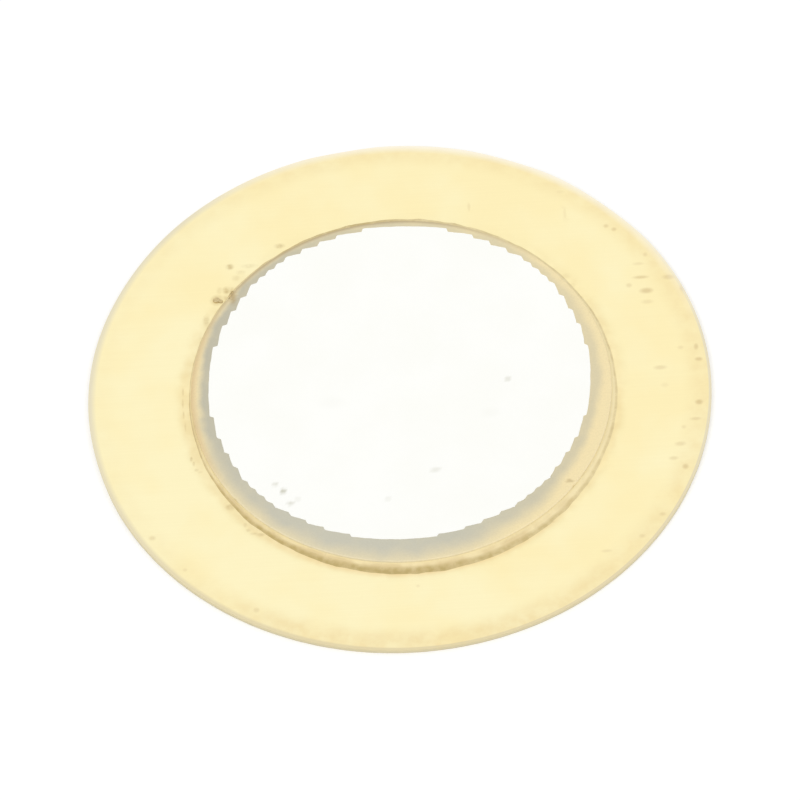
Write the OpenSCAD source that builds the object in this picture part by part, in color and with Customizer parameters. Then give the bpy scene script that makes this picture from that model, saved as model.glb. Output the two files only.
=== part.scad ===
// Piezo disc: the bare sounder element of a buzzer, also used as a contact pickup.
// A thin silvered ceramic disc is glued, a little off centre, to a wider brass plate.
// When a voltage is put across the ceramic it widens or shrinks, and the plate bows.
// Origin: centre of the plate's back face. +Z points out of the ceramic side. Millimetres.

/* [Brass plate] */
// Diameter of the blanked plate
plate_d = 20.0; // [15:0.5:50]
// Thickness of the rolled brass sheet
plate_t = 0.20; // [0.1:0.01:0.5]
// Width of the rounded shoulder that blanking draws round the front face
shoulder_w = 0.45; // [0.1:0.05:1.0]
// Fall of that shoulder below the front face, at the rim
shoulder_drop = 0.03; // [0.01:0.005:0.05]

/* [Glue] */
// Thickness of the glue between the plate and the silvered ceramic
glue_t = 0.01; // [0.005:0.005:0.05]
// Width of the bead of glue pressed out round the ceramic
bead_w = 0.19; // [0.05:0.01:0.3]
// Height of that bead on the ceramic's wall
bead_h = 0.11; // [0.05:0.01:0.15]

/* [Ceramic] */
// Diameter of the ceramic disc
ceramic_d = 13.5; // [9:0.1:14.5]
// Thickness of the ceramic disc
ceramic_t = 0.19; // [0.16:0.01:0.4]
// Radius of the tumbled edge round its front face
ceramic_edge_r = 0.02; // [0.01:0.005:0.03]
// Distance that the ceramic was glued off the plate's centre, along X
ceramic_off_x = 0.06; // [-0.5:0.01:0.5]
// Distance that the ceramic was glued off the plate's centre, along Y
ceramic_off_y = 0.0; // [-0.5:0.01:0.5]

/* [Silver electrodes] */
// Thickness of each printed and fired silver layer
silver_t = 0.01; // [0.005:0.001:0.03]
// Width of the bare ring of ceramic round the back silver
back_margin = 0.2; // [0.1:0.05:1.5]
// Mean width of the bare ring of ceramic round the front silver
front_margin = 0.57; // [0.5:0.01:2]
// Distance that the front print is shifted on the ceramic, along X
front_off_x = -0.03; // [-0.2:0.01:0.2]
// Distance that the front print is shifted on the ceramic, along Y
front_off_y = 0.31; // [-0.35:0.01:0.35]
// Pitch of the threads of the printing screen
screen_pitch = 0.28; // [0.15:0.01:0.5]
// Turn of the screen's threads about Z, in degrees
screen_turn = -4; // [-45:1:45]
// Share of the screen's square steps that is left once the wet silver has flowed
step_left = 0.35; // [0.2:0.05:1]

/* [Hidden] */

// Smoothness of the curved edges
$fn = 180;
arc_step = 15;

// Radii
plate_r = plate_d / 2;
ceramic_r = ceramic_d / 2;
back_silver_r = ceramic_r - back_margin;
front_silver_r = ceramic_r - front_margin;

// Levels of the stack, from the plate's front face up
glue_top = plate_t + glue_t;
ceramic_bottom = glue_top + silver_t;
ceramic_top = ceramic_bottom + ceramic_t;

// A section with a quarter ellipse between its flat face and its wall, spun into a disc.
// round_w is the ellipse's half-width and round_h its half-height.
module round_shouldered_disc(r, h, round_w, round_h) {
    rotate_extrude()
        polygon(concat(
            [[0, 0], [r, 0]],
            [for (a = [0 : arc_step : 90])
                [r - round_w * (1 - cos(a)), h - round_h * (1 - sin(a))]],
            [[0, h]]));
}

// Moves a piece to where the ceramic was set down on the plate
module on_ceramic(z) {
    translate([ceramic_off_x, ceramic_off_y, z])
        children();
}

// Half-width of the row of screen openings whose middle is at y, in whole openings
function row_half_width(r, y) = screen_pitch * round(sqrt(max(0, r * r - y * y)) / screen_pitch);

// A corner of the stepped outline, drawn back towards the circle as the wet silver flows
function flowed(point, r) = point * (r + step_left * (norm(point) - r)) / norm(point);

// The outline that a round stencil leaves on a woven screen: a circle in square steps.
// The right side is listed from the bottom up and the left side from the top down.
function printed_outline(r) =
    let (
        rows = floor(r / screen_pitch + 0.5),
        right = [for (j = [-rows : rows - 1])
            let (w = row_half_width(r, screen_pitch * (j + 0.5)))
                if (w > 0)
                    each [[w, screen_pitch * j], [w, screen_pitch * (j + 1)]]],
        left = [for (i = [len(right) - 1 : -1 : 0]) [-right[i][0], right[i][1]]]
    )
    [for (point = concat(right, left)) flowed(point, r)];

// Blanked brass plate: it carries the ceramic and is the disc's other electrode
module brass_plate() {
    color("#F4DE9E")
        round_shouldered_disc(plate_r, plate_t, shoulder_w, shoulder_drop);
}

// Cured epoxy: a film under the ceramic, with the bead that was pressed out round it.
// It also fills the narrow ring between the back silver and the ceramic's edge.
module glue_film() {
    color("#C8AC74")
        on_ceramic(plate_t)
            rotate_extrude()
                polygon(concat(
                    [[0, 0]],
                    [for (a = [0 : arc_step : 90])
                        [ceramic_r + bead_w * (1 - sin(a)),
                            (glue_t + silver_t + bead_h) * (1 - cos(a))]],
                    [
                        [ceramic_r, glue_t + silver_t],
                        [back_silver_r, glue_t + silver_t],
                        [back_silver_r, glue_t],
                        [0, glue_t]
                    ]));
}

// Fired silver on the ceramic's back, which the glue holds against the plate
module back_electrode() {
    color("#D9D9D6")
        on_ceramic(glue_top)
            cylinder(r = back_silver_r, h = silver_t);
}

// The piezoelectric ceramic itself, with its front edge tumbled round
module ceramic_disc() {
    color("#D8CDA8")
        on_ceramic(ceramic_bottom)
            round_shouldered_disc(ceramic_r, ceramic_t, ceramic_edge_r, ceramic_edge_r);
}

// Fired silver on the ceramic's front, printed a little off centre through a woven screen
module top_electrode() {
    color("#FBFBF7")
        on_ceramic(ceramic_top)
            translate([front_off_x, front_off_y, 0])
                rotate(screen_turn)
                    linear_extrude(height = silver_t)
                        polygon(printed_outline(front_silver_r));
}

brass_plate();
glue_film();
back_electrode();
ceramic_disc();
top_electrode();
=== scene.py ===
import math

import bmesh
import bpy
from mathutils import Matrix, Vector


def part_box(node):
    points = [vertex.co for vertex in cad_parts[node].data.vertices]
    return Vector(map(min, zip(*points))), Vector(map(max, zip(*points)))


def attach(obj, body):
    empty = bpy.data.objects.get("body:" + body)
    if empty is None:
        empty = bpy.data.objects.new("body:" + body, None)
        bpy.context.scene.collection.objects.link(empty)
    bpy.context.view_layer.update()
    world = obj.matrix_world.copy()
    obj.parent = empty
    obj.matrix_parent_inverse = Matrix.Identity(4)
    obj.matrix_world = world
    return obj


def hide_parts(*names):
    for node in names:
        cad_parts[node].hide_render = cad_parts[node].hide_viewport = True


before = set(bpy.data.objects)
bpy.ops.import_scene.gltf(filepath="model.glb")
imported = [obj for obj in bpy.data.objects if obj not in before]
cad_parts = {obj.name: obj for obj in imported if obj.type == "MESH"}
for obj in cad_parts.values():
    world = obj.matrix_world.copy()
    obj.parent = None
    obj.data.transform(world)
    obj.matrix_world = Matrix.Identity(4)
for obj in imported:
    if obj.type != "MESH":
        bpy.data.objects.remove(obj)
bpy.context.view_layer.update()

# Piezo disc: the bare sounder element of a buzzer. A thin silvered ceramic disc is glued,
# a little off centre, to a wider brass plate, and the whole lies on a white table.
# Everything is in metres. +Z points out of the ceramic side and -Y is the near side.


# ---- Camera ----
# A long lens looks steeply down on the disc from the near side. The camera leans a few
# degrees about its own axis, so the disc seems to tip up to the right.

MM = 0.001  # one millimetre, in metres

lens_mm = 400
camera_distance = 285 * MM
camera_height_angle = math.radians(54.0)  # above the table
camera_lean = math.radians(-3.3)
camera_aim = Vector((0.0, -0.225, 0.1)) * MM

bpy.ops.object.camera_add()
camera = bpy.context.object
camera.name = "camera"
camera.data.lens = lens_mm
turned_down = Matrix.Rotation(math.radians(90) - camera_height_angle, 4, "X")
leaned = Matrix.Rotation(camera_lean, 4, "Z")
back_along_view = turned_down @ Vector((0, 0, camera_distance))
camera.matrix_world = Matrix.Translation(camera_aim + back_along_view) @ turned_down @ leaned
bpy.context.scene.camera = camera


# ---- Brass plate ----
# A disc blanked from 0.2 mm rolled brass sheet. The die drew a low shoulder round its front
# face; below that the wall is sheared bright, then torn rough. It carries the ceramic.

hair = 0.001 * MM         # a distance too small to see
plate_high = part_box("brass_plate")[1]
plate_r = plate_high.x - hair
plate_t = plate_high.z
plate_steps = 360
shoulder_w = 0.45 * MM
shoulder_drop = 0.03 * MM
shoulder_rings = 8
tear_top = 0.10 * MM      # the wall is torn below this height and sheared smooth above it
tear_taper = 0.012 * MM   # the punch is this much smaller than the die
tear_roughness = 0.003 * MM
edge_break = 0.008 * MM   # what tumbling took off the sharp back edge
bare_inner_r = 6.4 * MM   # the ceramic and its glue cover the plate inside this radius
ring_step = 0.08 * MM

# Stains and shallow nicks where the plate was handled, each as (x, y, half length along X,
# half width along Y) in mm, and how dark it is
plate_marks = [
    (8.15, 3.5, 0.17, 0.09, 1.0), (8.0, 4.05, 0.2, 0.05, 0.9), (8.15, 3.05, 0.15, 0.07, 0.4),
    (7.95, 4.6, 0.14, 0.05, 0.4), (7.6, 3.75, 0.08, 0.07, 0.55), (8.9, 4.0, 0.17, 0.08, 0.7),
    (7.0, 6.2, 0.07, 0.06, 0.7), (7.25, 6.05, 0.07, 0.06, 0.75), (8.2, 4.95, 0.06, 0.07, 0.5),
    (9.3, 3.55, 0.06, 0.14, 0.7), (9.6, 1.15, 0.06, 0.1, 0.8), (9.65, 0.65, 0.1, 0.06, 0.9),
    (9.1, 1.15, 0.08, 0.06, 0.4), (8.4, 0.4, 0.17, 0.07, 0.6), (8.5, -0.3, 0.1, 0.08, 0.25),
    (9.55, -1.05, 0.1, 0.08, 1.0), (9.4, -1.7, 0.15, 0.05, 0.6), (9.0, -2.0, 0.06, 0.06, 0.4),
    (8.85, -2.65, 0.14, 0.07, 0.6), (8.6, -3.2, 0.12, 0.06, 0.6), (8.95, -3.55, 0.08, 0.08, 0.9),
    (8.1, -5.35, 0.08, 0.06, 0.5), (7.4, -6.15, 0.08, 0.06, 0.5), (6.25, -6.65, 0.14, 0.05, 0.4),
    (2.6, 7.3, 0.04, 0.14, 0.4), (5.7, 6.8, 0.04, 0.25, 0.3), (5.6, 7.7, 0.1, 0.06, 0.2),
    (-8.1, -5.15, 0.09, 0.07, 0.6), (-7.1, -6.45, 0.06, 0.05, 0.4),
    (-4.9, -8.15, 0.08, 0.08, 0.5), (0.23, -7.58, 0.05, 0.045, 0.35),
]
# Smears of glue beside the ceramic, in the same terms
glue_smears = [
    (-5.71, 4.1, 0.17, 0.16, 0.7), (-5.63, 4.49, 0.07, 0.11, 0.35), (-5.4, 4.48, 0.1, 0.12, 0.75),
    (-5.42, 4.1, 0.1, 0.14, 0.5), (-5.5, 3.75, 0.08, 0.14, 0.45), (-5.22, 4.4, 0.08, 0.15, 0.6),
    (-5.08, 4.96, 0.1, 0.09, 0.3), (-4.92, 5.17, 0.12, 0.07, 0.3),
    (-4.62, 5.41, 0.2, 0.07, 0.28), (-5.26, 5.42, 0.1, 0.09, 0.8), (-3.62, 6.15, 0.13, 0.08, 0.6),
    (-6.1, 3.3, 0.09, 0.17, 0.5), (-6.3, 2.6, 0.04, 0.2, 0.2),
    (-6.94, 0.5, 0.025, 0.12, 0.4), (-6.96, 0.05, 0.025, 0.15, 0.5),
    (-6.95, -0.4, 0.025, 0.12, 0.4), (-6.91, -0.88, 0.025, 0.14, 0.4),
    (-6.76, -2.16, 0.035, 0.08, 0.6), (-6.69, -2.34, 0.035, 0.07, 0.5),
    (-6.6, -2.6, 0.06, 0.045, 0.45), (-6.5, -2.69, 0.06, 0.04, 0.3),
    (-5.58, -4.12, 0.12, 0.1, 0.6), (-5.13, -4.85, 0.05, 0.07, 0.4), (-5.04, -5.06, 0.06, 0.05, 0.4),
    (-4.88, -5.2, 0.1, 0.035, 0.4), (-4.66, -5.26, 0.12, 0.05, 0.45),
    (5.6, 4.28, 0.12, 0.1, 0.17), (5.78, 3.88, 0.08, 0.08, 0.17), (4.55, -5.4, 0.12, 0.05, 0.3),
]
nick_depth = 0.004 * MM
mark_fade = 1.6   # a mark has faded out at this many times its half length and width
near_marks = 0.15   # in mm, how far round each mark the faces are finer

# Flats knocked on the thin rim, each as (degrees from +X, how far it goes in, reach) in mm
rim_flats = [(45, 0.05, 2.4), (66, 0.03, 1.8), (98, 0.035, 1.4), (150, 0.02, 3.0),
             (193, 0.02, 2.5)]


def towards(degrees):
    """The flat direction that lies this many degrees round from +X."""
    return Vector((math.cos(math.radians(degrees)), math.sin(math.radians(degrees)), 0))


def rounded_edge(r, z, width, height, rings):
    """A section's quarter ellipse, from its wall at radius r up to its front face at z."""
    angles = [math.radians(90) * ring / rings for ring in range(rings + 1)]
    return [(r - width * (1 - math.cos(angle)), z - height * (1 - math.sin(angle)))
            for angle in angles]


def pick(passes, kind="VERT"):
    """Selects the vertices or faces of the edited piece whose middle passes, and no others."""
    bpy.ops.mesh.select_mode(type=kind)
    bpy.ops.mesh.select_all(action="DESELECT")
    mesh = bmesh.from_edit_mesh(bpy.context.edit_object.data)
    for part in mesh.verts if kind == "VERT" else mesh.faces:
        corners = [part] if kind == "VERT" else part.verts
        middle = sum((corner.co for corner in corners), Vector()) / len(corners)
        part.select = bool(passes(middle))
    mesh.select_flush(True)
    bmesh.update_edit_mesh(bpy.context.edit_object.data)


def turned(name, section, centre, steps):
    """Spins a half-section, (radius, height) points from the axis out and back to it."""
    bpy.ops.object.select_all(action="DESELECT")
    bpy.ops.mesh.primitive_plane_add(size=MM)
    piece = bpy.context.object
    piece.name = name
    bpy.ops.object.mode_set(mode="EDIT")
    bpy.ops.mesh.select_mode(type="VERT")
    bpy.ops.mesh.select_all(action="SELECT")
    bpy.ops.mesh.merge(type="CENTER")
    bpy.ops.transform.translate(value=(section[0][0], 0, section[0][1]))
    for (r0, z0), (r1, z1) in zip(section, section[1:]):
        bpy.ops.mesh.extrude_region_move(
            TRANSFORM_OT_translate={"value": (r1 - r0, 0, z1 - z0)})
    bpy.ops.mesh.select_all(action="SELECT")
    bpy.ops.mesh.spin(
        steps=steps, angle=math.tau, center=(0, 0, 0), axis=(0, 0, 1), use_auto_merge=True)
    bpy.ops.mesh.select_all(action="SELECT")
    bpy.ops.mesh.remove_doubles(threshold=hair / 10)
    bpy.ops.transform.translate(value=(centre[0], centre[1], 0))
    bpy.ops.mesh.normals_make_consistent(inside=False)
    bpy.ops.object.mode_set(mode="OBJECT")
    return piece


def push_in(place, direction, depth, reach):
    """Presses the edited piece in at the vertex nearest to a place, fading out to reach."""
    mesh = bmesh.from_edit_mesh(bpy.context.edit_object.data)
    nearest = min((v.co for v in mesh.verts), key=lambda co: (co - place).length).copy()
    pick(lambda co: (co - nearest).length < hair)
    bpy.ops.transform.translate(
        value=direction.normalized() * depth, use_proportional_edit=True,
        proportional_edit_falloff="SMOOTH", proportional_size=reach)


def paint_marks(piece, name, marks):
    """Stores how strongly the marks show at each vertex, as an attribute of the mesh."""
    attribute = piece.data.attributes.new(name, "FLOAT", "POINT")
    for vertex, stored in zip(piece.data.vertices, attribute.data):
        x, y = vertex.co.x / MM, vertex.co.y / MM
        for mark_x, mark_y, half_length, half_width, darkness in marks:
            off = math.hypot((x - mark_x) / half_length, (y - mark_y) / half_width)
            stored.value = max(stored.value, darkness * min(1, max(0, mark_fade - off)))


def near_mark(co):
    """Whether a place on the front face is close to one of its marks or smears."""
    return co.z > plate_t - 0.02 * MM and any(
        math.hypot(co.x / MM - mark[0], co.y / MM - mark[1]) < near_marks + mark[2]
        for mark in plate_marks + glue_smears)


shoulder = rounded_edge(plate_r, plate_t, shoulder_w, shoulder_drop, shoulder_rings)
shoulder_inner_r = shoulder[-1][0]
bare_rings = int((shoulder_inner_r - bare_inner_r) / ring_step)
# From the middle of the back face outwards, up the torn wall, over the shoulder and back in
plate_section = (
    [(ring_r * MM, 0) for ring_r in (0, 3, 6, 8, 9.5)]
    + [(plate_r - tear_taper - edge_break, 0), (plate_r - tear_taper, edge_break)]
    + [(plate_r - tear_taper * 0.5, tear_top * 0.55), (plate_r, tear_top)]
    + shoulder
    + [(shoulder_inner_r - ring_step * ring, plate_t) for ring in range(1, bare_rings + 1)]
    + [(3 * MM, plate_t), (0, plate_t)])
plate = turned("brass_disc", plate_section, (0, 0), plate_steps)

bpy.ops.object.mode_set(mode="EDIT")
for degrees, depth, reach in rim_flats:
    push_in(towards(degrees) * plate_r, -towards(degrees), depth * MM, reach * MM)
# Torn metal is uneven
pick(lambda co: hair < co.z < tear_top - hair)
bpy.ops.transform.vertex_random(offset=tear_roughness, uniform=1.0, normal=0.0, seed=4)
# The faces are finer where the marks are, so that each mark keeps its own shape
pick(near_mark, "FACE")
bpy.ops.mesh.subdivide(number_cuts=3)
bpy.ops.object.mode_set(mode="OBJECT")

# Marks colour the plate, and all but the smears dent it too
paint_marks(plate, "marks", plate_marks)
paint_marks(plate, "smears", glue_smears)
nicks = plate.vertex_groups.new(name="nicks")
for vertex, mark in zip(plate.data.vertices, plate.data.attributes["marks"].data):
    if mark.value > 0 and vertex.co.z > plate_t / 2:
        nicks.add([vertex.index], mark.value, "REPLACE")
dented = plate.modifiers.new("dented", "DISPLACE")
dented.direction = "Z"
dented.mid_level = 0
dented.strength = -nick_depth
dented.vertex_group = "nicks"
bpy.ops.object.modifier_apply(modifier="dented")
bpy.ops.object.shade_smooth_by_angle(angle=math.radians(25))


def srgb(hex_colour):
    """An sRGB hex colour as the linear colour that shaders take."""
    parts = [int(hex_colour[i:i + 2], 16) / 255 for i in (1, 3, 5)]
    linear = [p / 12.92 if p <= 0.04045 else ((p + 0.055) / 1.055) ** 2.4 for p in parts]
    return (*linear, 1)


def add(tree, kind, sockets=None, **settings):
    """Adds a shader node: its settings, and for each named or numbered socket a number, a
    colour, another socket, or a node whose first live output is wanted."""
    node = tree.nodes.new("ShaderNode" + kind)
    for name, value in settings.items():
        setattr(node, name, value)
    live = [socket for socket in node.inputs if socket.enabled]
    for key, value in (sockets or {}).items():
        socket = live[key] if isinstance(key, int) else next(s for s in live if s.name == key)
        if isinstance(value, bpy.types.Node):
            value = next(output for output in value.outputs if output.enabled)
        if isinstance(value, bpy.types.NodeSocket):
            tree.links.new(value, socket)
        else:
            socket.default_value = value
    return node


def new_finish(name):
    """A new material with no nodes but one for the piece's own coordinates."""
    finish = bpy.data.materials.new(name)
    finish.use_nodes = True
    finish.node_tree.nodes.clear()
    tree = finish.node_tree
    coordinates = add(tree, "TexCoord").outputs["Object"]
    return finish, tree, coordinates


# Rolled brass, pale yellow with a satin sheen. The eye sees soft clouds of tarnish, faint
# lines along the rolling direction, brown handling marks, and a greyer sheared wall that is
# partly painted shade. Painted shade also darkens a ring on the shoulder, the rim and the
# brass beside the glue, and a painted highlight whitens the far rim.
rolled_brass, tree, place = new_finish("rolled brass")
cloud_size = 2.6 * MM
yellowing = (9.0, 9.0, 0)   # per metre: the tarnish grows towards the far right
line_length = 6 * MM
line_width = 0.06 * MM      # real lines are finer than this
shoulder_shade_size = 0.45 * MM
wipe_size = 0.5 * MM        # patches of glue that wiping left
smear_grain = 0.12 * MM
mark_strength = 0.38

clouds = add(tree, "TexNoise", {"Vector": place, "Scale": 1 / cloud_size, "Detail": 3.0})
yellower = add(tree, "VectorMath", {0: place, 1: yellowing}, operation="DOT_PRODUCT")
yellower = add(tree, "Math", {0: clouds, 1: yellower}, operation="ADD")
cloudy = add(tree, "MapRange", {"Value": yellower, "From Min": 0.36, "From Max": 0.66})
clean = add(tree, "Mix", {"Factor": cloudy, "A": srgb("#FFF5C7"), "B": srgb("#FFF1BD")},
            data_type="RGBA")

stretched = add(tree, "VectorMath",
                {0: place, 1: (1 / line_length, 1 / line_width, 0)}, operation="MULTIPLY")
lines = add(tree, "TexNoise", {"Vector": stretched, "Scale": 1.0, "Detail": 2.0})
lined = add(tree, "MapRange", {"Value": lines, "From Min": 0.3, "From Max": 0.7,
                               "To Min": 0.0, "To Max": 0.08})
rolled = add(tree, "Mix", {"Factor": lined, "A": clean, "B": srgb("#F2E0A8")},
             data_type="RGBA")

flat_place = add(tree, "VectorMath", {0: place, 1: (1, 1, 0)}, operation="MULTIPLY")
radius = add(tree, "VectorMath", {0: flat_place}, operation="LENGTH")
outwards = add(tree, "VectorMath", {0: flat_place}, operation="NORMALIZE")
nearness = add(tree, "VectorMath", {0: outwards, 1: (0, -1, 0)}, operation="DOT_PRODUCT")

# Painted shade in a patchy ring just inside the rim, standing in for the darker reflection
# of the die-rolled shoulder, least at the left and most on the near side
ring_in = add(tree, "MapRange", {"Value": radius, "From Min": plate_high.x - 1.0 * MM,
                                 "From Max": plate_high.x - 0.3 * MM},
              interpolation_type="SMOOTHSTEP")
shoulder_shade_noise = add(tree, "TexNoise", {"Vector": place, "Scale": 1 / shoulder_shade_size, "Detail": 3.0})
patchy_shoulder_shade = add(tree, "MapRange", {"Value": shoulder_shade_noise, "From Min": 0.35, "From Max": 0.7,
                                "To Min": 0.15, "To Max": 0.39})
axes = add(tree, "SeparateXYZ", {0: place})
shoulder_shade_side = add(tree, "MapRange", {"Value": axes.outputs["X"], "From Min": -9.5 * MM,
                                   "From Max": -3 * MM, "To Min": 0.25, "To Max": 1.0})
shoulder_shade_near = add(tree, "MapRange", {"Value": nearness, "From Min": 0.5, "From Max": 0.9,
                                   "To Min": 1.0, "To Max": 1.5})
painted_shoulder_shade = add(tree, "Math", {0: ring_in, 1: patchy_shoulder_shade}, operation="MULTIPLY")
painted_shoulder_shade = add(tree, "Math", {0: painted_shoulder_shade, 1: shoulder_shade_side}, operation="MULTIPLY")
painted_shoulder_shade = add(tree, "Math", {0: painted_shoulder_shade, 1: shoulder_shade_near}, operation="MULTIPLY")
with_haze_and_shade = add(tree, "Mix", {"Factor": painted_shoulder_shade, "A": rolled, "B": srgb("#EDD49A")},
              data_type="RGBA")

# A haze of wiped glue round the ceramic, patchy and fading out. It and the marks are on the
# front face alone.
height = axes.outputs["Z"]
on_front = add(tree, "MapRange", {"Value": height, "From Min": plate_t * 0.6,
                                  "From Max": plate_t * 0.75})
haze_middle = (0.06 * MM, -0.05 * MM, 0)
haze_centre = add(tree, "VectorMath", {0: flat_place, 1: haze_middle}, operation="SUBTRACT")
haze_radius = add(tree, "VectorMath", {0: haze_centre}, operation="LENGTH")
haze_in = add(tree, "MapRange", {"Value": haze_radius, "From Min": 7.4 * MM,
                                 "From Max": 6.95 * MM}, interpolation_type="SMOOTHSTEP")
wiped = add(tree, "TexNoise", {"Vector": place, "Scale": 1 / wipe_size, "Detail": 2.0})
hazy = add(tree, "MapRange", {"Value": wiped, "From Min": 0.35, "From Max": 0.65,
                              "To Min": 0.0, "To Max": 0.35})
not_far = add(tree, "MapRange", {"Value": nearness, "From Min": -0.9, "From Max": -0.3,
                                 "To Min": 0.2, "To Max": 1.0})
haze = add(tree, "Math", {0: haze_in, 1: hazy}, operation="MULTIPLY")
haze = add(tree, "Math", {0: haze, 1: not_far}, operation="MULTIPLY")
haze = add(tree, "Math", {0: haze, 1: on_front}, operation="MULTIPLY")
with_haze_and_shade = add(tree, "Mix", {"Factor": haze, "A": with_haze_and_shade, "B": srgb("#E4CD92")},
              data_type="RGBA")
# Right beside the glue the brass is darker still, partly thicker haze and partly painted
# shade for the ceramic's wall and bead darkening its reflection, most on the near side and
# least on the far side
side_glue_shade = add(tree, "MapRange", {"Value": nearness, "From Min": -0.7, "From Max": -0.1,
                                   "To Min": 0.0, "To Max": 0.14})
near_glue_shade = add(tree, "MapRange", {"Value": nearness, "From Min": 0.5, "From Max": 1.0,
                                   "To Min": 0.0, "To Max": 0.48})
haze_and_shade_by_side = add(tree, "Math", {0: side_glue_shade, 1: near_glue_shade}, operation="MAXIMUM")
beside_glue = add(tree, "MapRange", {"Value": haze_radius, "From Min": 7.25 * MM,
                                     "From Max": 7.0 * MM}, interpolation_type="SMOOTHSTEP")
thick_haze_and_shade = add(tree, "Math", {0: beside_glue, 1: haze_and_shade_by_side}, operation="MULTIPLY")
thick_haze_and_shade = add(tree, "Math", {0: thick_haze_and_shade, 1: on_front}, operation="MULTIPLY")
with_haze_and_shade = add(tree, "Mix", {"Factor": thick_haze_and_shade, "A": with_haze_and_shade, "B": srgb("#EDC98A")},
              data_type="RGBA")

marks = add(tree, "Attribute", attribute_name="marks").outputs["Fac"]
mark_share = add(tree, "Math", {0: marks, 1: mark_strength}, operation="MULTIPLY")
mark_share = add(tree, "Math", {0: mark_share, 1: on_front}, operation="MULTIPLY")
marked = add(tree, "Mix", {"Factor": mark_share, "A": with_haze_and_shade, "B": srgb("#B8935A")},
             data_type="RGBA")
smears = add(tree, "Attribute", attribute_name="smears").outputs["Fac"]
grainy = add(tree, "TexNoise", {"Vector": place, "Scale": 1 / smear_grain, "Detail": 2.0})
smear_share = add(tree, "Math", {0: smears, 1: grainy}, operation="MULTIPLY")
marked = add(tree, "Mix", {"Factor": smear_share, "A": marked, "B": srgb("#B09054")},
             data_type="RGBA")

# Painted light on the very rim: painted shade, grey on the left, yellower on the near side
# and widest on the far left, and a painted highlight, nearly white, on the far right where
# the rounded rim catches the light
to_widest = add(tree, "VectorMath", {0: outwards, 1: towards(150)}, operation="DOT_PRODUCT")
rim_shade_start = add(tree, "MapRange", {"Value": to_widest, "From Min": -0.6, "From Max": 1.0,
                                   "To Min": plate_r - 0.1 * MM, "To Max": plate_r - 0.26 * MM})
rim_shade_in = add(tree, "MapRange", {"Value": radius, "From Min": rim_shade_start,
                                "From Max": plate_r - 0.07 * MM})
to_whitest = add(tree, "VectorMath", {0: outwards, 1: towards(70)}, operation="DOT_PRODUCT")
white_side = add(tree, "MapRange", {"Value": to_whitest, "From Min": 0.5, "From Max": 0.95})
white_start = add(tree, "MapRange", {"Value": radius, "From Min": plate_r - 0.32 * MM,
                                     "From Max": plate_r})
painted_rim_highlight = add(tree, "Math", {0: white_start, 1: white_side}, operation="MULTIPLY")
grey_side = add(tree, "MapRange", {"Value": white_side, "To Min": 0.85, "To Max": 0.0})
painted_rim_shade = add(tree, "Math", {0: rim_shade_in, 1: grey_side}, operation="MULTIPLY")
rim_shade_colour = add(tree, "Mix", {"Factor": nearness, "A": srgb("#E5DDC4"),
                                  "B": srgb("#E2D4AC")}, data_type="RGBA")
with_rim_light = add(tree, "Mix", {"Factor": painted_rim_shade, "A": marked, "B": rim_shade_colour},
           data_type="RGBA")
with_rim_light = add(tree, "Mix", {"Factor": painted_rim_highlight, "A": with_rim_light, "B": srgb("#FEF8E8")},
           data_type="RGBA")

# The wall under the shoulder is sheared at the top and torn, a little greyer, below. Its
# darker, greyer colour is partly the metal's own and partly painted shade, the darker
# reflection of the table that the wall faces.
shoulder_foot = plate_t - shoulder_drop
at_rim = add(tree, "MapRange", {"Value": radius, "From Min": plate_r - 0.09 * MM,
                                "From Max": plate_r - 0.04 * MM})
on_wall = add(tree, "MapRange", {"Value": height, "From Min": shoulder_foot + 0.004 * MM,
                                 "From Max": shoulder_foot - 0.002 * MM})
wall = add(tree, "Math", {0: at_rim, 1: on_wall}, operation="MULTIPLY")
torn = add(tree, "MapRange", {"Value": height, "From Min": tear_top + 0.02 * MM,
                              "From Max": tear_top - 0.01 * MM})
wall_colour_and_shade = add(tree, "Mix", {"Factor": torn, "A": srgb("#DFD4B0"), "B": srgb("#D9D0B3")},
                  data_type="RGBA")
brass_colour = add(tree, "Mix", {"Factor": wall, "A": with_rim_light, "B": wall_colour_and_shade},
                   data_type="RGBA")

roughness = add(tree, "MapRange", {"Value": clouds, "From Min": 0.3, "From Max": 0.7,
                                   "To Min": 0.28, "To Max": 0.36})
roughness = add(tree, "Math", {0: painted_shoulder_shade, 1: 0.15, 2: roughness}, operation="MULTIPLY_ADD")
roughness = add(tree, "Math", {0: wall, 1: 0.2, 2: roughness}, operation="MULTIPLY_ADD")
relief = add(tree, "Bump", {"Height": lines, "Strength": 0.12, "Distance": 0.002 * MM})
shader = add(tree, "BsdfPrincipled", {"Base Color": brass_colour, "Metallic": 1.0,
                                      "Roughness": roughness, "Normal": relief})
add(tree, "OutputMaterial", {"Surface": shader})

plate.data.materials.append(rolled_brass)
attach(plate, "root")
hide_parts("brass_plate")


# ---- Glue ----
# Amber epoxy. A film holds the silvered ceramic on the plate, and what was pressed out
# stands round it as a thin concave bead, wider on some sides than others.

glue_low, glue_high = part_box("glue_film")
ceramic_low, ceramic_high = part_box("ceramic_disc")
silver_low, silver_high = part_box("back_electrode")
ceramic_centre = (ceramic_low + ceramic_high) / 2
ceramic_r = (ceramic_high.x - ceramic_low.x) / 2
back_silver_r = (silver_high.x - silver_low.x) / 2
bead_w = glue_high.x - ceramic_high.x
bead_h = glue_high.z - glue_low.z
bead_rings = 6
bead_steps = 360
# The ceramic was pressed down a little unevenly, so the foot of the bead isn't quite round
bead_lean = Vector((0.045, -0.07, 0)) * MM
foot_spread = (-0.011, 0.014)   # across and along its longest direction, as shares of its radius
foot_turn = math.radians(7)     # how far that direction is turned from Y
lump_depth = 0.09 * MM          # how far the foot wanders

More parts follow.
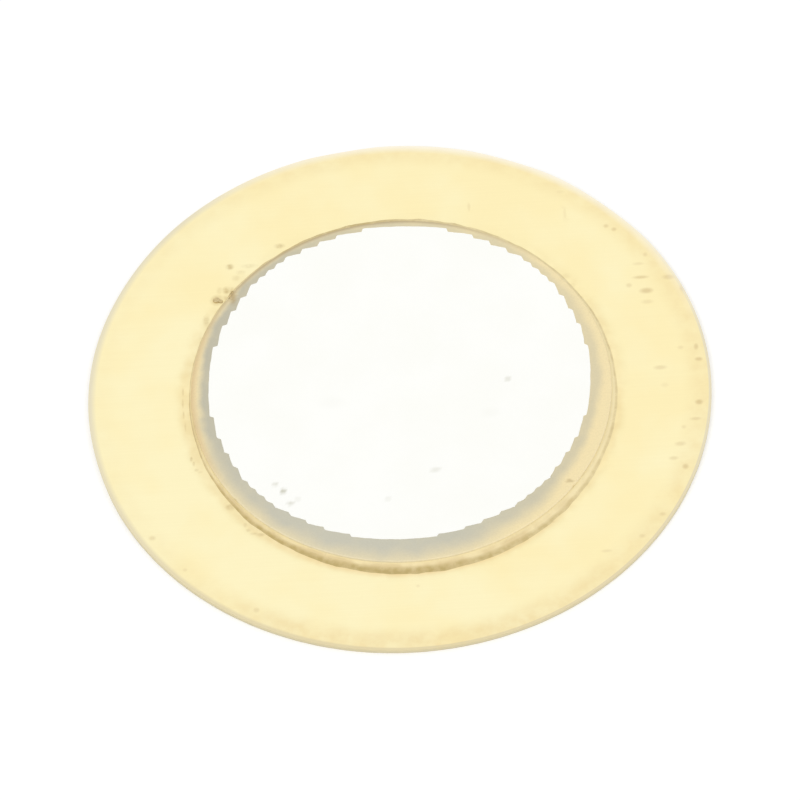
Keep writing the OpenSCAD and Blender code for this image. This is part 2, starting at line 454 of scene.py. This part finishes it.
bead = []
for ring in range(bead_rings + 1):
    angle = math.radians(90) * ring / bead_rings
    bead.append((ceramic_r + bead_w * (1 - math.sin(angle)),
                 glue_low.z + bead_h * (1 - math.cos(angle))))
glue_section = (
    [(0, glue_low.z)] + bead
    + [(ceramic_r, ceramic_low.z), (back_silver_r, ceramic_low.z)]
    + [(back_silver_r, silver_low.z), (0, silver_low.z)])
glue = turned("glue_bead", glue_section, ceramic_centre, bead_steps)

bpy.ops.object.mode_set(mode="EDIT")
for radius_here, height_here in bead[:-1]:
    pick(lambda co: abs((co - ceramic_centre).xy.length - radius_here) < hair
         and abs(co.z - height_here) < hair)
    share = (radius_here - ceramic_r) / bead_w
    bpy.ops.transform.rotate(
        value=foot_turn, orient_axis="Z", center_override=ceramic_centre)
    bpy.ops.transform.resize(
        value=(1 + foot_spread[0] * share, 1 + foot_spread[1] * share, 1),
        center_override=ceramic_centre)
    bpy.ops.transform.rotate(
        value=-foot_turn, orient_axis="Z", center_override=ceramic_centre)
    bpy.ops.transform.translate(value=bead_lean * share)
bpy.ops.object.mode_set(mode="OBJECT")
# The foot wanders where the glue wetted the brass unevenly
foot = glue.vertex_groups.new(name="foot")
for vertex in glue.data.vertices:
    spread = ((vertex.co - ceramic_centre).xy.length - ceramic_r) / bead_w
    if spread > 0.01:
        foot.add([vertex.index], min(1, spread), "REPLACE")
for direction, lump_size in (("X", 0.9 * MM), ("Y", 0.6 * MM)):
    lumps = bpy.data.textures.new("lumps_" + direction, "CLOUDS")
    lumps.noise_scale = lump_size
    spread_out = glue.modifiers.new("spread_out", "DISPLACE")
    spread_out.texture = lumps
    spread_out.direction = direction
    spread_out.mid_level = 0.5
    spread_out.strength = lump_depth
    spread_out.vertex_group = "foot"
    bpy.ops.object.modifier_apply(modifier="spread_out")
bpy.ops.object.shade_smooth_by_angle(angle=math.radians(50))

# Cured epoxy, cream against the ceramic, its cream painted lighter as painted light that
# stands in for light through the translucent epoxy on its shaded steep sides. It is glossy,
# and grows brown towards its thin foot, partly dirt gathered there and partly painted shade
# of the ceramic's shadow, most on the near side, some on the far side and least on the right.
cured_epoxy, tree, place = new_finish("cured amber epoxy")
dust_size = 0.25 * MM
pool_size = 0.7 * MM   # patches where the epoxy lies thicker, and so looks browner
foot_focus = 7.0       # the higher, the closer the browning keeps to its own direction
middle_focus = 2.0
height = add(tree, "SeparateXYZ", {0: place}).outputs["Z"]
outwards = add(tree, "VectorMath", {0: place, 1: (1, 1, 0)}, operation="MULTIPLY")
outwards = add(tree, "VectorMath", {0: outwards}, operation="NORMALIZE")
to_darkest_foot = add(tree, "VectorMath", {0: outwards, 1: towards(252)},
                  operation="DOT_PRODUCT")
foot_brown_and_shade = add(tree, "MapRange", {"Value": to_darkest_foot, "From Min": -1.0, "From Max": 0.95})
foot_brown_and_shade = add(tree, "Math", {0: foot_brown_and_shade, 1: foot_focus}, operation="POWER")
foot_brown_and_shade = add(tree, "MapRange", {"Value": foot_brown_and_shade, "To Min": 0.45, "To Max": 1.0})
# Darker on the far side: painted shadow of the ceramic on the bead
to_far = add(tree, "VectorMath", {0: outwards, 1: towards(105)}, operation="DOT_PRODUCT")
far_side_shadow = add(tree, "MapRange", {"Value": to_far, "From Min": 0.75, "From Max": 1.0,
                                     "To Min": 0.0, "To Max": 0.7})
foot_brown_and_shade = add(tree, "Math", {0: foot_brown_and_shade, 1: far_side_shadow}, operation="MAXIMUM")
to_tan = add(tree, "VectorMath", {0: outwards, 1: towards(250)}, operation="DOT_PRODUCT")
tan_and_far_shadow = add(tree, "MapRange", {"Value": to_tan, "From Min": -1.0, "From Max": 0.95})
tan_and_far_shadow = add(tree, "Math", {0: tan_and_far_shadow, 1: middle_focus}, operation="POWER")
tan_and_far_shadow = add(tree, "Math", {0: tan_and_far_shadow, 1: far_side_shadow}, operation="MAXIMUM")
dust = add(tree, "TexNoise", {"Vector": place, "Scale": 1 / dust_size, "Detail": 3.0})
dusty = add(tree, "MapRange", {"Value": dust, "From Min": 0.35, "From Max": 0.65,
                               "To Min": 0.65, "To Max": 1.2})
pooled = add(tree, "TexNoise", {"Vector": place, "Scale": 1 / pool_size, "Detail": 2.0})
pooled = add(tree, "MapRange", {"Value": pooled, "From Min": 0.38, "From Max": 0.62,
                                "To Min": 0.5, "To Max": 1.4})
middle_share = add(tree, "MapRange", {"Value": height, "From Min": glue_high.z,
                                      "From Max": glue_high.z - 0.08 * MM})
reach = add(tree, "MapRange", {"Value": foot_brown_and_shade, "From Min": 0.45,
                               "To Min": glue_low.z + 0.021 * MM,
                               "To Max": glue_low.z + 0.052 * MM})
foot_dirt_and_shade = add(tree, "MapRange", {"Value": height, "From Min": reach,
                                    "From Max": glue_low.z + 0.006 * MM})
foot_dirt_and_shade = add(tree, "Math", {0: foot_dirt_and_shade, 1: dusty}, operation="MULTIPLY")
middle_share = add(tree, "Math", {0: middle_share, 1: tan_and_far_shadow}, operation="MULTIPLY")
middle_share = add(tree, "Math", {0: middle_share, 1: pooled}, operation="MULTIPLY",
                   use_clamp=True)
foot_dirt_and_shade = add(tree, "Math", {0: foot_dirt_and_shade, 1: foot_brown_and_shade}, operation="MULTIPLY",
                 use_clamp=True)
# The first colour is lighter than the epoxy's own cream: painted light
amber = add(tree, "Mix", {"Factor": middle_share, "A": srgb("#FFF0C0"), "B": srgb("#E5D09D")},
            data_type="RGBA")
amber = add(tree, "Mix", {"Factor": foot_dirt_and_shade, "A": amber, "B": srgb("#BFA96C")},
            data_type="RGBA")
gloss = add(tree, "MapRange", {"Value": dust, "From Min": 0.3, "From Max": 0.7,
                               "To Min": 0.25, "To Max": 0.45})
shader = add(tree, "BsdfPrincipled", {"Base Color": amber, "Roughness": gloss, "IOR": 1.55})
add(tree, "OutputMaterial", {"Surface": shader})

glue.data.materials.append(cured_epoxy)
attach(glue, "root")
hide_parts("glue_film")

# Crumbs of the same epoxy that dried on the plate beside the ceramic, each as (x, y, half
# length, half width) in mm and the degrees it is turned
crumb_places = [
    (-5.73, 4.1, 0.12, 0.1, 4), (-5.61, 4.05, 0.06, 0.08, 60), (-5.25, 4.3, 0.06, 0.14, -25),
]
crumb_height = 0.024 * MM
crumb_roughness = 0.35   # as a share of its half width
loose_crumbs = []
for number, (x, y, half_length, half_width, degrees) in enumerate(crumb_places):
    bpy.ops.object.select_all(action="DESELECT")
    bpy.ops.mesh.primitive_ico_sphere_add(
        subdivisions=3, radius=MM, location=(x * MM, y * MM, plate_t + crumb_height * 0.5))
    crumb = bpy.context.object
    crumb.rotation_euler.z = math.radians(degrees)
    bpy.ops.object.mode_set(mode="EDIT")
    bpy.ops.mesh.select_all(action="SELECT")
    bpy.ops.transform.resize(value=(half_length, half_width, crumb_height / MM),
                             orient_type="LOCAL")
    bpy.ops.transform.vertex_random(offset=half_width * crumb_roughness * MM, uniform=1.0,
                                    normal=0.0, seed=number)
    bpy.ops.mesh.vertices_smooth(factor=0.5, repeat=1)
    bpy.ops.object.mode_set(mode="OBJECT")
    loose_crumbs.append(crumb)
for crumb in loose_crumbs:
    crumb.select_set(True)
bpy.ops.object.join()
crumbs = bpy.context.object
crumbs.name = "glue_crumbs"
bpy.ops.object.transform_apply(location=True, rotation=True, scale=True)
bpy.ops.object.shade_smooth_by_angle(angle=math.radians(60))

# The same epoxy, left rough and dulled by dirt
dirty_epoxy, tree, place = new_finish("dirty dried epoxy")
dirt_size = 0.12 * MM
dirt = add(tree, "TexNoise", {"Vector": place, "Scale": 1 / dirt_size, "Detail": 2.0})
brown = add(tree, "Mix", {"Factor": dirt, "A": srgb("#E2CF9E"), "B": srgb("#CCB785")},
            data_type="RGBA")
shader = add(tree, "BsdfPrincipled", {"Base Color": brown, "Roughness": 0.5, "IOR": 1.55})
add(tree, "OutputMaterial", {"Surface": shader})
crumbs.data.materials.append(dirty_epoxy)
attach(crumbs, "root")


# ---- Back electrode ----
# Silver paste printed and fired on the ceramic's back before it was glued down. The
# ceramic hides it, so the CAD disc stays as it is.

screen_pitch = 0.28 * MM   # of the threads of the printing screen

# Fired silver. The eye would see a matt light grey, slightly uneven from the screen.
back_silver, tree, place = new_finish("fired silver on the back")
weave = add(tree, "TexNoise", {"Vector": place, "Scale": 1 / screen_pitch, "Detail": 2.0})
grey = add(tree, "Mix", {"Factor": weave, "A": srgb("#E4E3DD"), "B": srgb("#D2D0C8")},
           data_type="RGBA")
shader = add(tree, "BsdfPrincipled", {"Base Color": grey, "Metallic": 1.0, "Roughness": 0.6})
add(tree, "OutputMaterial", {"Surface": shader})
back_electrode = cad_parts["back_electrode"]
back_electrode.data.materials.clear()
back_electrode.data.materials.append(back_silver)


# ---- Ceramic disc ----
# Sintered piezoelectric ceramic, pressed, lapped flat and tumbled so that its edge is a
# little round and chipped. Fumes of the firing silver stained the margin round the print.

ceramic_steps = 480
edge_r = 0.04 * MM
edge_rings = 5
back_bevel = 0.01 * MM
margin_step = 0.1 * MM
margin_rings = 13
ceramic_section = (
    [(0, ceramic_low.z), (ceramic_r - back_bevel, ceramic_low.z)]
    + [(ceramic_r, ceramic_low.z + wall_ring) for wall_ring in (back_bevel, 0.07 * MM, 0.12 * MM)]
    + rounded_edge(ceramic_r, ceramic_high.z, edge_r, edge_r, edge_rings)
    + [(ceramic_r - edge_r - margin_step * ring, ceramic_high.z)
       for ring in range(1, margin_rings + 1)]
    + [(3 * MM, ceramic_high.z), (0, ceramic_high.z)])
ceramic = turned("ceramic_wafer", ceramic_section, ceramic_centre, ceramic_steps)

# Chips round the front edge, as (degrees from +X, depth, reach) in mm
edge_chips = [(322, 0.035, 0.16), (326, 0.02, 0.12), (37, 0.03, 0.15), (33, 0.02, 0.1),
              (143, 0.04, 0.2), (216, 0.03, 0.15), (222, 0.02, 0.1), (262, 0.015, 0.12),
              (188, 0.02, 0.1), (290, 0.02, 0.12), (95, 0.02, 0.14), (5, 0.015, 0.1)]
chip_fall = 0.7               # how steeply a chip goes down as it goes in
corner_inset = edge_r * 0.3   # how far in from the sharp corner the round one's middle is
wall_roughness = 0.003 * MM
bpy.ops.object.mode_set(mode="EDIT")
for degrees, depth, reach in edge_chips:
    corner = ceramic_centre + towards(degrees) * (ceramic_r - corner_inset)
    corner.z = ceramic_high.z - corner_inset
    push_in(corner, -towards(degrees) - Vector((0, 0, chip_fall)), depth * MM, reach * MM)
pick(lambda co: ceramic_low.z + 0.02 * MM < co.z < ceramic_high.z - hair
     and (co - ceramic_centre).xy.length > ceramic_r - edge_r - hair)
bpy.ops.transform.vertex_random(offset=wall_roughness, uniform=1.0, normal=0.0, seed=11)
bpy.ops.object.mode_set(mode="OBJECT")
bpy.ops.object.shade_smooth_by_angle(angle=math.radians(40))

# Glue fingered onto the margin, as (x, y, half length, half width) in mm, and strength
ceramic_marks = [(-5.2, 4.02, 0.08, 0.24, 0.75), (5.24, -4.01, 0.07, 0.05, 0.8)]
paint_marks(ceramic, "glue_spots", ceramic_marks)

print_low, print_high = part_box("top_electrode")
print_centre = (print_low + print_high) / 2
print_r = 6.2 * MM   # of the hole in the stencil

# Sintered lead zirconate titanate, matt pale buff. The eye sees a fine grain and a grey
# haze of silver next to the print, which is widest on the left and near sides.
sintered, tree, place = new_finish("sintered piezo ceramic")
grain_size = 0.06 * MM    # the real grains are a tenth of this
haze_drift = 0.08 * MM    # how far the haze's outer limit wanders
drift_size = 0.9 * MM     # and how long each wandering is
haze_core = 0.16          # the share of the haze's width in which it is greyest
haze_focus = 2.0          # the higher, the closer the wide haze keeps to its own direction
patch_size = 0.7 * MM
from_print = add(tree, "VectorMath", {0: place, 1: print_centre}, operation="SUBTRACT")
from_print = add(tree, "VectorMath", {0: from_print, 1: (1, 1, 0)}, operation="MULTIPLY")
away = add(tree, "VectorMath", {0: from_print}, operation="LENGTH")
drift = add(tree, "TexNoise", {"Vector": place, "Scale": 1 / drift_size, "Detail": 3.0})
drift = add(tree, "MapRange", {"Value": drift, "From Min": 0.3, "From Max": 0.7,
                               "To Min": -haze_drift, "To Max": haze_drift})
away = add(tree, "Math", {0: away, 1: drift}, operation="ADD")
outwards = add(tree, "VectorMath", {0: from_print}, operation="NORMALIZE")
to_widest = add(tree, "VectorMath", {0: outwards, 1: towards(255)}, operation="DOT_PRODUCT")
to_widest = add(tree, "Math", {0: to_widest, 1: 0.0}, operation="MAXIMUM")
to_widest = add(tree, "Math", {0: to_widest, 1: haze_focus}, operation="POWER")
haze_width = add(tree, "MapRange", {"Value": to_widest, "To Min": 0.38 * MM,
                                    "To Max": 1.32 * MM})
to_greyest = add(tree, "VectorMath", {0: outwards, 1: towards(215)}, operation="DOT_PRODUCT")
haze_depth = add(tree, "MapRange", {"Value": to_greyest, "From Min": -1.0, "From Max": 0.4,
                                    "To Min": 0.4, "To Max": 1.0})
haze_end = add(tree, "Math", {0: haze_width, 1: print_r}, operation="ADD")
haze_start = add(tree, "Math", {0: haze_width, 1: haze_core, 2: print_r},
                 operation="MULTIPLY_ADD")
haze = add(tree, "MapRange", {"Value": away, "From Min": haze_end, "From Max": haze_start},
           interpolation_type="SMOOTHSTEP")
haze = add(tree, "Math", {0: haze, 1: haze_depth}, operation="MULTIPLY")
patches = add(tree, "TexNoise", {"Vector": place, "Scale": 1 / patch_size, "Detail": 3.0})
patchy = add(tree, "MapRange", {"Value": patches, "From Min": 0.3, "From Max": 0.7,
                                "To Min": 0.9, "To Max": 1.1})
haze = add(tree, "Math", {0: haze, 1: patchy}, operation="MULTIPLY", use_clamp=True)
haze_grey = add(tree, "Mix", {"Factor": to_widest, "A": srgb("#C5C0AA"),
                              "B": srgb("#CDCAB8")}, data_type="RGBA")
stained = add(tree, "Mix", {"Factor": haze, "A": srgb("#FBE8B5"), "B": haze_grey},
              data_type="RGBA")

# The tumbled edge is darker on the far side and tan with glue at the left. On the near side
# its corner is painted paler, painted light that lifts the shade of the upright wall below it
from_middle = add(tree, "VectorMath", {0: place, 1: ceramic_centre}, operation="SUBTRACT")
from_middle = add(tree, "VectorMath", {0: from_middle, 1: (1, 1, 0)}, operation="MULTIPLY")
out = add(tree, "VectorMath", {0: from_middle}, operation="LENGTH")
at_edge = add(tree, "MapRange", {"Value": out, "From Min": ceramic_r - 0.15 * MM,
                                 "From Max": ceramic_r - 0.03 * MM},
              interpolation_type="SMOOTHSTEP")
edge_side = add(tree, "VectorMath", {0: from_middle}, operation="NORMALIZE")
to_far = add(tree, "VectorMath", {0: edge_side, 1: towards(108)}, operation="DOT_PRODUCT")
edge_share = add(tree, "MapRange", {"Value": to_far, "From Min": 0.45, "From Max": 0.95,
                                    "To Min": 0.0, "To Max": 0.9})
edge_share = add(tree, "Math", {0: edge_share, 1: at_edge}, operation="MULTIPLY")
edged = add(tree, "Mix", {"Factor": edge_share, "A": stained, "B": srgb("#C0AC84")},
            data_type="RGBA")
to_right = add(tree, "SeparateXYZ", {0: edge_side}).outputs["X"]
left_share = add(tree, "MapRange", {"Value": to_right, "From Min": -0.85, "From Max": -0.98,
                                    "To Min": 0.0, "To Max": 0.65})
left_edge = add(tree, "MapRange", {"Value": out, "From Min": ceramic_r - 0.22 * MM,
                                   "From Max": ceramic_r - 0.05 * MM})
left_share = add(tree, "Math", {0: left_share, 1: left_edge}, operation="MULTIPLY")
edged = add(tree, "Mix", {"Factor": left_share, "A": edged, "B": srgb("#DCBE8C")},
            data_type="RGBA")
# Painted light: the corner on the near side is painted paler against the wall's shade
at_corner = add(tree, "MapRange", {"Value": out, "From Min": ceramic_r - 0.04 * MM,
                                   "From Max": ceramic_r - 0.01 * MM})
near_corner_light = add(tree, "MapRange", {"Value": to_far, "From Min": 0.2, "From Max": -0.4,
                                    "To Min": 0.0, "To Max": 0.3})
near_corner_light = add(tree, "Math", {0: near_corner_light, 1: at_corner}, operation="MULTIPLY")
edged = add(tree, "Mix", {"Factor": near_corner_light, "A": edged, "B": srgb("#FFF6DC")},
            data_type="RGBA")
glue_spots = add(tree, "Attribute", attribute_name="glue_spots").outputs["Fac"]
edged = add(tree, "Mix", {"Factor": glue_spots, "A": edged, "B": srgb("#B49A68")},
            data_type="RGBA")

grain = add(tree, "TexNoise", {"Vector": place, "Scale": 1 / grain_size, "Detail": 2.0})
grainy = add(tree, "MapRange", {"Value": grain, "From Min": 0.35, "From Max": 0.65,
                                "To Min": 0.0, "To Max": 0.1})
buff = add(tree, "Mix", {"Factor": grainy, "A": edged, "B": srgb("#B5AA8A")},
           data_type="RGBA")
relief = add(tree, "Bump", {"Height": grain, "Strength": 0.25, "Distance": 0.004 * MM})
shader = add(tree, "BsdfPrincipled", {"Base Color": buff, "Roughness": 0.55,
                                      "Normal": relief})
add(tree, "OutputMaterial", {"Surface": shader})

ceramic.data.materials.append(sintered)
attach(ceramic, "root")
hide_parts("ceramic_disc")


# ---- Front electrode ----
# Silver paste printed through a round stencil on a woven screen, then fired. Its edge is
# stepped like the weave, though the wet paste has flowed most of each step away.

screen_turn = math.radians(-4)
openings = 2 * math.ceil(print_r / screen_pitch)
cuts_per_opening = 3
paste_t = print_high.z - print_low.z
flow_least = 0.64               # the least share of a step that the wet paste took away
flow_more = 0.29                # and how much more it took where it was wettest
wettest_side = towards(300)
edge_raggedness = 0.012 * MM
# The squeegee drew the print out a little along one direction and carried it to the left
screen_stretch = (1.0075, 0.992, 1)
stretch_turn = math.radians(68)
print_slip = Vector((-0.014, 0, 0)) * MM
thread_half_width = 0.1         # as a share of the threads' pitch
groove_depth = 0.0008 * MM
paste_roughness = 0.0006 * MM
paste_drop = 0.001 * MM         # keeps the rough top inside the frame's box

bpy.ops.object.select_all(action="DESELECT")
bpy.ops.mesh.primitive_grid_add(
    x_subdivisions=openings * cuts_per_opening, y_subdivisions=openings * cuts_per_opening,
    size=openings * screen_pitch, location=(print_centre.x, print_centre.y, print_high.z),
    rotation=(0, 0, screen_turn))
silver = bpy.context.object
silver.name = "printed_silver"
bpy.ops.object.mode_set(mode="EDIT")


def outside_stencil(co):
    """Whether the middle of the screen's opening at a place is covered by the stencil."""
    opening = [(math.floor(along / screen_pitch) + 0.5) * screen_pitch for along in co.xy]
    return math.hypot(*opening) > print_r


pick(outside_stencil, "FACE")
bpy.ops.mesh.delete(type="FACE")
bpy.ops.mesh.select_mode(type="VERT")
bpy.ops.mesh.select_all(action="DESELECT")
bpy.ops.mesh.select_non_manifold()
bpy.ops.object.mode_set(mode="OBJECT")
# The wet paste flows, and draws the steps towards a circle
edge = silver.vertex_groups.new(name="edge")
for vertex in silver.data.vertices:
    if vertex.select:
        to_wettest = vertex.co.xy.normalized().dot(wettest_side.xy)
        edge.add([vertex.index], flow_least + flow_more * (1 + to_wettest) / 2, "REPLACE")
flowed = silver.modifiers.new("flowed", "CAST")
flowed.cast_type = "SPHERE"
flowed.size = print_r
flowed.use_radius_as_size = False
flowed.factor = 1.0
flowed.vertex_group = "edge"
bpy.ops.object.modifier_apply(modifier="flowed")
bpy.ops.object.mode_set(mode="EDIT")
bpy.ops.transform.vertex_random(offset=edge_raggedness, uniform=1.0, normal=0.0, seed=5)
# The edge goes back to its own level before it is smoothed
bpy.ops.transform.resize(value=(1, 1, 0), center_override=(0, 0, print_high.z))
bpy.ops.mesh.vertices_smooth(factor=0.35, repeat=2, zaxis=False)
bpy.ops.mesh.select_all(action="SELECT")
bpy.ops.transform.rotate(value=stretch_turn, orient_axis="Z", center_override=print_centre)
bpy.ops.transform.resize(value=screen_stretch, center_override=print_centre)
bpy.ops.transform.rotate(value=-stretch_turn, orient_axis="Z", center_override=print_centre)
bpy.ops.transform.translate(value=print_slip)
# Threads of the screen leave faint grooves between the openings
pick(lambda co: min(abs(along / screen_pitch - round(along / screen_pitch))
                    for along in co.xy) < thread_half_width
     and co.length < print_r - 0.3 * MM)
bpy.ops.transform.translate(value=(0, 0, -groove_depth))
bpy.ops.mesh.select_all(action="SELECT")
bpy.ops.transform.vertex_random(offset=paste_roughness, uniform=0.0, normal=1.0, seed=9)
bpy.ops.transform.translate(value=(0, 0, -paste_drop))
bpy.ops.mesh.extrude_region_move(TRANSFORM_OT_translate={"value": (0, 0, -paste_t)})
bpy.ops.mesh.select_all(action="SELECT")
bpy.ops.mesh.normals_make_consistent(inside=False)
bpy.ops.object.mode_set(mode="OBJECT")
bpy.ops.object.transform_apply(location=True, rotation=True, scale=True)
bpy.ops.object.shade_smooth_by_angle(angle=math.radians(40))

# Pinholes and specks in the print, as (x, y, half length, half width) in mm, and strength
silver_marks = [
    (-4.11, -3.48, 0.08, 0.07, 0.38), (-3.88, -3.77, 0.08, 0.08, 0.78),
    (-3.66, -4.26, 0.09, 0.07, 0.46), (-3.43, -4.12, 0.06, 0.07, 0.22),
    (-0.56, -4.3, 0.06, 0.09, 0.2), (3.49, 0.13, 0.09, 0.07, 0.38),
    (1.0, -3.28, 0.16, 0.05, 0.35), (2.87, -1.14, 0.25, 0.15, 0.04),
    (-2.2, -0.4, 0.35, 0.2, 0.035),
]
paint_marks(silver, "pinholes", silver_marks)

# Fired silver, matt and nearly white. The eye sees a faint weave, soft blotches and a few
# greenish pinholes where the ceramic shows through.
front_silver, tree, place = new_finish("fired silver on the front")
blotch_size = 1.8 * MM
powder_size = 0.05 * MM   # the real silver grains are far finer
blotches = add(tree, "TexNoise", {"Vector": place, "Scale": 1 / blotch_size, "Detail": 3.0})
blotchy = add(tree, "MapRange", {"Value": blotches, "From Min": 0.35, "From Max": 0.65})
white = add(tree, "Mix", {"Factor": blotchy, "A": srgb("#FFFFFC"), "B": srgb("#FEFEFA")},
            data_type="RGBA")
pinholes = add(tree, "Attribute", attribute_name="pinholes").outputs["Fac"]
spotted = add(tree, "Mix", {"Factor": pinholes, "A": white, "B": srgb("#CBC9B6")},
              data_type="RGBA")
powder = add(tree, "TexNoise", {"Vector": place, "Scale": 1 / powder_size, "Detail": 2.0})
relief = add(tree, "Bump", {"Height": powder, "Strength": 0.15, "Distance": 0.003 * MM})
shader = add(tree, "BsdfPrincipled", {"Base Color": spotted, "Metallic": 1.0,
                                      "Roughness": 0.65, "Normal": relief})
add(tree, "OutputMaterial", {"Surface": shader})

silver.data.materials.append(front_silver)
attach(silver, "root")
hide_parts("top_electrode")


# ---- Table and light ----
# A white table under an even white studio. The lamps are large and soft, and their level
# adds up to a little under 1, so that a colour shows about as it is written.

table_size = 3.0
table_gap = 0.01 * MM   # keeps the plate's back face off the table's surface
table_glow = 0.3        # what lifts the table to white where it is plainly seen
room_level = 0.72       # how bright the world alone makes a white face


def plainly_seen(tree):
    """1 for the camera's rays and for what metal or glass shows, and 0 for all other light."""
    path = add(tree, "LightPath")
    seen = add(tree, "Math", {0: path.outputs["Is Camera Ray"], 1: path.outputs["Is Glossy Ray"]},
               operation="MAXIMUM")
    return add(tree, "Math", {0: seen, 1: path.outputs["Is Transmission Ray"]},
               operation="MAXIMUM")


bpy.ops.object.select_all(action="DESELECT")
bpy.ops.mesh.primitive_plane_add(size=table_size, location=(0, 0, -table_gap))
table = bpy.context.object
table.name = "table"
white_table, tree, place = new_finish("white table")
matt = add(tree, "BsdfDiffuse", {"Color": srgb("#E6E6E6")})
glow = add(tree, "Emission", {"Color": (1, 1, 1, 1), "Strength": table_glow})
lifted = add(tree, "AddShader", {0: matt, 1: glow})
top_side = add(tree, "MixShader", {0: plainly_seen(tree), 1: matt, 2: lifted})
# From below the table is clear, so that the disc's back can be seen
clear = add(tree, "BsdfTransparent")
under = add(tree, "NewGeometry").outputs["Backfacing"]
both_sides = add(tree, "MixShader", {0: under, 1: top_side, 2: clear})
add(tree, "OutputMaterial", {"Surface": both_sides})
table.data.materials.append(white_table)

world = bpy.data.worlds.new("white studio")
bpy.context.scene.world = world
world.use_nodes = True
world.node_tree.nodes.clear()
tree = world.node_tree
level = add(tree, "MapRange", {"Value": plainly_seen(tree), "To Min": room_level,
                               "To Max": 1.0})
surround = add(tree, "Background", {"Color": (1, 1, 1, 1), "Strength": level})
add(tree, "OutputWorld", {"Surface": surround})


def soft_lamp(name, place, size, level):
    """A square lamp aimed at the disc. Level is how bright it alone makes a white top face."""
    place = Vector(place)
    bpy.ops.object.light_add(type="AREA", location=place)
    lamp = bpy.context.object
    lamp.name = name
    lamp.rotation_euler = place.to_track_quat("Z", "Y").to_euler()
    lamp.data.size = size
    lamp.data.energy = level * math.pi ** 2 * place.length_squared / place.normalized().z
    lamp.visible_camera = False
    lamp.visible_glossy = False   # metal mirrors the even white room alone


soft_lamp("key_lamp", (-0.35, -0.45, 0.75), 0.5, 0.18)
soft_lamp("fill_lamp", (0.5, -0.3, 0.8), 0.6, 0.08)

bpy.context.scene.view_settings.view_transform = "Standard"
